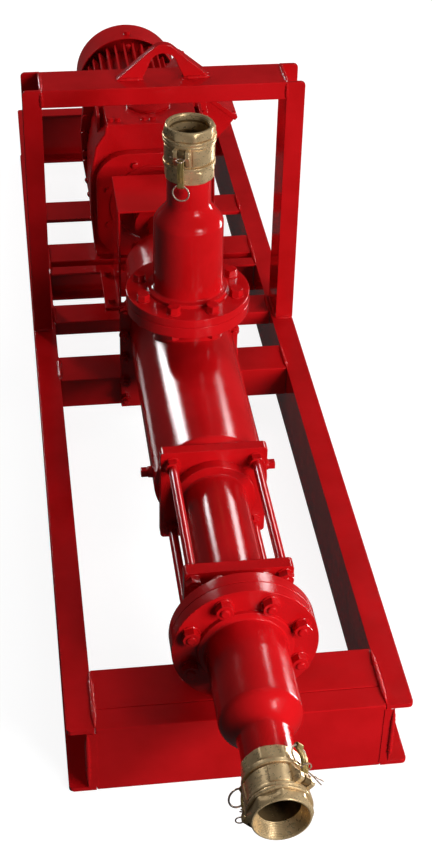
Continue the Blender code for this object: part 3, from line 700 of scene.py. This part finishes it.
def makeCouplerBody(collarTurn, leverTurn):
    look = couplingLook
    still = Matrix.Identity(4)
    collar = [(1.6, 0.0), (1.80, 0.0), (1.90, 0.05), (look["collarCorner"], 0.16), (look["collarCorner"], 0.94),
              (1.90, 1.06), (1.84, 1.12), (1.6, 1.12)]
    parts = [(octagonTurned(collar, look["collar"], collarTurn), still)]
    shell = rounded([(1.84, 3.3), (look["bead"] - 0.02, 3.3), (look["bead"] - 0.02, 3.05), (look["cup"], 2.98),
                     (look["cup"], 1.66), (1.80, 1.62), (1.80, 1.50), (look["band"], 1.46), (look["band"], 1.16),
                     (1.88, 1.08), (1.78, 1.08), (1.78, 1.6), (1.84, 1.6)],
                    [0.03, 0.09, 0.06, 0.04, 0.04, 0.02, 0.02, 0.06, 0.06, 0.02, 0, 0, 0], 3)
    parts.append((lathe(shell, 96, closed=True), still))
    for turn in (look["padTurn"], -look["padTurn"], 180 + look["padTurn"], 180 - look["padTurn"]):
        parts.append((bentPad(1.9, 2.02, 1.66, 2.94, look["padHalf"], leverTurn + turn), still))
    ear = plate([rounded([(1.75, 1.66), (2.08, 1.66), (2.30, 2.2), (2.56, 2.62), (2.56, 3.05), (2.44, 3.16),
                          (1.75, 3.16)], [0, 0.1, 0.3, 0.2, 0.15, 0.12, 0], 4)], look["earThick"], 0.04)
    half = 0.297 + look["earThick"] + 0.05
    pin = lathe(rounded([(0, 2 * half), (0.17, 2 * half), (0.17, 2 * half - 0.08), (0.11, 2 * half - 0.1),
                         (0.11, 0.1), (0.17, 0.08), (0.17, 0), (0, 0)],
                        [0, 0.05, 0.03, 0.02, 0.02, 0.03, 0.05, 0]), 20)
    for side in (0, 180):
        swing = spin(leverTurn + side)
        for edge in (-0.297, 0.297 + look["earThick"]):
            parts.append((ear, swing @ shift(0, edge, 0) @ spin(90, "X")))
        parts.append((pin, swing @ shift(2.33, half, 2.9) @ spin(90, "X")))
    return gathered(parts)


def makeAdapterBody(headTurn, mouth, thread, threadEnd):
    look = couplingLook
    bead = lathe(rounded([(1.5, 3.70), (1.74, 3.70), (1.76, 3.58), (look["bead"], 3.56), (look["bead"], 3.312),
                          (1.80, 3.312), (1.80, 1.7), (1.5, 1.7)],
                         [0, 0.03, 0.04, 0.08, 0.08, 0, 0, 0], 4), 96, closed=True)
    head = [(1.6, 3.64), (2.0, 3.64), (2.035, 3.68), (2.035, 4.0), (1.98, 4.10), (1.90, 4.24), (look["rim"], 4.31),
            (look["rim"] - 0.04, 4.35), (mouth + 0.02, 4.35), (mouth, 4.32)]
    turns = max(1, int((4.28 - threadEnd) / 0.1))
    for turn in range(turns + 1):
        depth, share = 4.28 - 0.1 * turn, turn / turns
        wall = mouth - 0.02 + (thread - mouth) * share
        head += [(wall, depth), (wall - 0.035, depth - 0.05)]
    end = min(threadEnd - 0.08, 3.6)
    head += [(thread, end), (thread + 0.15, end)]
    return gathered([(octagonTurned(head, look["head"], headTurn), Matrix.Identity(4)),
                     (bead, Matrix.Identity(4))])


# a dark brass sleeve and end disc inside the bore that paint the bore's shade
def makeBoreShadeLining(radius, top):
    profile = [(radius - 0.03, top), (radius + 0.01, top), (radius + 0.01, 3.2), (1.44, 3.1), (1.44, -2.6),
               (0, -2.6), (0, -2.5), (1.40, -2.5), (1.40, 3.06), (radius - 0.03, 3.16)]
    return lathe(profile, 64, closed=True)


# thin dark brass pads on the cup that paint the shade of the cam recesses; no recess is cut
def makeRecessShadePads(leverTurn):
    parts = []
    for side in (0, 180):
        parts.append((bentPad(1.9, 1.985, 1.72, 3.06, 8.4, leverTurn + side, 0.01), Matrix.Identity(4)))
    return gathered(parts)


def bowAt(share):
    return couplingLook["bow"] * math.sin(math.pi * min(1, max(0, share)))


def makeLeverArm():
    tip = 0.25 - 2.9
    top, low = -0.62, tip + 0.3
    path = [step / 12 for step in range(13)]
    outline = [(0.20 + bowAt(share), low + (top - low) * share) for share in path]
    outline += [(0.12, top + 0.2), (-0.06, top + 0.2)]
    outline += [(-0.02 + bowAt(share), top + (low - top) * share) for share in path]
    outline += arcOf((0.09, tip), 0.205, 150, 390, 12)
    bar = plate([outline, ringOf(0.132, 16, (0.09, tip))], 0.5, 0.06)
    strip = [(0.24 + bowAt(share), low + (top - low) * share) for share in path]
    strip += [(0.10 + bowAt(share), low + (top - low) * share) for share in reversed(path)]
    ridge = plate([strip], 0.2, 0.05)
    return gathered([(bar, shift(0, 0, 0)), (ridge, shift(0, 0, 0.15))])


def makeLeverCam():
    outline = arcOf((0, 0), 0.28, -60, 150, 14)
    outline += [(-0.20, -0.35), (-0.05, -0.75), (0.13, -0.75), (0.13, -0.45)]
    return plate([outline, ringOf(0.11 + 0.024, 20)], 0.46, 0.03)


def makeSafetyClip(along, out, aside, tail):
    # a split ring round the arm with its two legs out to the side
    ring = [(out + 0.28 * math.cos(a), aside + 0.28 * math.sin(a), along + 0.03 * math.sin(a / 2))
            for a in [math.tau * step / 28 for step in range(29)]]
    pin = [(out - 0.14, aside + 0.23, along), (0.16, 0.33, along), (0.08, 0.30, along), (0.06, 0, along),
           (0.05, -0.5, along)]
    legs = [[(0.05, -0.5, along), (0.02, -0.5 - tail * 0.3, along + 0.02), (0.08, -0.5 - tail, along + 0.05)],
            [(0.05, -0.5, along), (-0.04, -0.5 - tail * 0.3, along - 0.02),
             (-0.02 - tail * 0.2, -0.5 - tail * 1.12, along)]]
    return gathered([(wire(path, 0.046, sides=2), Matrix.Identity(4)) for path in [ring, pin] + legs])


def addCoupling(prefix, flangePlace, straight, turns, leverTurn, rings, bore, clips):
    place = flangePlace @ shift(0, 0, 0.94 + straight + 1.9 + 2.1)
    addPiece(prefix + "_coupler_body", makeCouplerBody(turns[0], leverTurn), place, castBrass,
             standsFor=[prefix + "_coupler"])
    addPiece(prefix + "_adapter_body", makeAdapterBody(turns[1], *bore), place, castBrass,
             standsFor=[prefix + "_adapter"])
    # dark brass sheets paint the shade inside the bore and in the cam recesses
    addPiece(prefix + "_bore_shade_lining", makeBoreShadeLining(bore[1], bore[2] + 0.02), place, shadeDarkBrass)
    addPiece(prefix + "_cam_recess_shade", makeRecessShadePads(leverTurn), place, shadeDarkBrass)
    arm, cam = makeLeverArm(), makeLeverCam()
    for letter, side, ringTurn, clip in (("a", 0, rings[0], clips[0]), ("b", 180, rings[1], clips[1])):
        body = prefix + "_lever_" + letter + "_body"
        pivot = place @ spin(leverTurn + side) @ shift(2.33, 0, 2.9)
        addPiece(prefix + "_lever_" + letter + "_arm", arm, pivot @ spin(90, "X") @ shift(0, 0, -0.25),
                 leverBrass, body, [prefix + "_lever_" + letter])
        addPiece(prefix + "_lever_" + letter + "_cam", cam, pivot @ spin(90, "X") @ shift(0, 0, -0.23),
                 shadeDarkBrass, body)
        addPiece(prefix + "_lever_" + letter + "_safety_clip", makeSafetyClip(*clip), pivot, wireSteel, body,
                 sharpAngle=60)
        eye = pivot @ shift(0.09, 0, 0.25 - 2.9) @ spin(ringTurn, "Y")
        loop = [(0.64 * math.cos(a), 0.64 * math.sin(a), 0) for a in
                [math.tau * step / 48 for step in range(48)]]
        addPiece(prefix + "_lever_" + letter + "_pull_ring", wire(loop, 0.065, True, 4),
                 eye @ shift(0, 0, 0.024 - 0.64) @ spin(90, "Y"), wireSteel, body,
                 [prefix + "_lever_" + letter + "_ring"])


addCoupling("discharge", dischargePlace, 6.5, (1.5, -22.5), 47, (169, -115),
            (1.73, 1.42, 3.34), ((-0.8, 0.34, 0.04, 1.25), (-0.55, 0.66, -0.2, 0.3)))
addCoupling("suction", suctionPlace, 5.9, (0, -19), 68, (0, 0), (1.66, 1.60, 4.18),
            ((-0.4, 0.42, 0.0, 0.4), (-0.4, 0.42, 0.0, 0.4)))
print("couplings fitted")

for name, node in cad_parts.items():
    if not node.hide_render:
        node.data.materials.clear()
        node.data.materials.append(redEnamel)
        node.data.shade_smooth()
        node.data.set_sharp_from_angle(angle=math.radians(35))


# floor, lights and the camera
studio = {
    "floorTone": 0.25,
    "floorGlow": 0.90,
    "ambient": 0.045,
    "lampDistance": 4.6,
    "lamps": {
        # name: azimuth from +Y towards +X, elevation, width, height, brightness, seen as a reflection
        "backRightBox": (36, 30, 0.7, 1.4, 11.0, True),
        "backLeftBox": (-31, 22, 0.6, 1.5, 24.0, True),
        "frontRightBox": (148, 31, 1.1, 0.7, 14.0, True),
        "frontRightLow": (150, 7, 1.4, 0.4, 8.0, True),
        "rightCard": (61, -8, 0.6, 2.0, 22.0, True),
        "keyFill": (140, 18, 2.6, 2.6, 12.0, False),
        "topFill": (60, 68, 3.0, 3.0, 1.8, False),
    },
    "cameraPlace": (-0.346273, -2.989793, 2.217638),
    "looksAlong": (0.11809, 0.79507, -0.59492),
    "rightSide": (0.99108, -0.13163, 0.02082),
    "lens": 67.323,
}


def makeFloorPaint():
    finish, nodes, links, shader = newFinish("paleFloor", (studio["floorTone"],) * 3, 1.0)
    shader.inputs["Specular IOR Level"].default_value = 0
    shader.inputs["Emission Color"].default_value = (1, 1, 1, 1)
    shader.inputs["Emission Strength"].default_value = studio["floorGlow"]
    return finish


def addFloor():
    # a flat disc that turns up into a wall far behind the pump
    profile = [(0, 0), (24, 0)] + [(24 + 6 * math.sin(a), 6 - 6 * math.cos(a))
                                   for a in [math.radians(15 * step) for step in range(1, 7)]] + [(30, 40)]
    mesh = lathe([(radius, height) for radius, height in profile], 96)
    mesh.materials.append(makeFloorPaint())
    mesh.shade_smooth()
    floor = bpy.data.objects.new("pale_floor", mesh)
    bpy.context.scene.collection.objects.link(floor)
    floor.visible_glossy = False
    floor.visible_diffuse = False
    floor.visible_shadow = False


def addSoftbox(name, azimuth, elevation, width, height, brightness, shows):
    middle = Vector((0, -0.3, 0.35))
    level = math.cos(math.radians(elevation))
    away = Vector((math.sin(math.radians(azimuth)) * level, math.cos(math.radians(azimuth)) * level,
                   math.sin(math.radians(elevation))))
    light = bpy.data.lights.new(name, "AREA")
    light.shape = "RECTANGLE"
    light.size, light.size_y = width, height
    light.energy = brightness * math.pi * width * height
    lamp = bpy.data.objects.new(name, light)
    lamp.location = middle + away * studio["lampDistance"]
    lamp.rotation_euler = (-away).to_track_quat("-Z", "Y").to_euler()
    lamp.visible_camera = False
    lamp.visible_glossy = shows
    bpy.context.scene.collection.objects.link(lamp)


addFloor()
for name, numbers in studio["lamps"].items():
    addSoftbox(name, *numbers)
world = bpy.data.worlds.new("studio")
world.use_nodes = True
world.node_tree.nodes["Background"].inputs["Color"].default_value = (1, 1, 1, 1)
world.node_tree.nodes["Background"].inputs["Strength"].default_value = studio["ambient"]
bpy.context.scene.world = world
bpy.context.scene.view_settings.view_transform = "Standard"

lens = bpy.data.cameras.new("photoCamera")
lens.sensor_width = 36
lens.lens = studio["lens"]
camera = bpy.data.objects.new("photoCamera", lens)
bpy.context.scene.collection.objects.link(camera)
ahead, right = Vector(studio["looksAlong"]).normalized(), Vector(studio["rightSide"]).normalized()
up = right.cross(ahead)
camera.matrix_world = Matrix((
    (right.x, up.x, -ahead.x, studio["cameraPlace"][0]),
    (right.y, up.y, -ahead.y, studio["cameraPlace"][1]),
    (right.z, up.z, -ahead.z, studio["cameraPlace"][2]),
    (0, 0, 0, 1)))
bpy.context.scene.camera = camera
print("studio set")
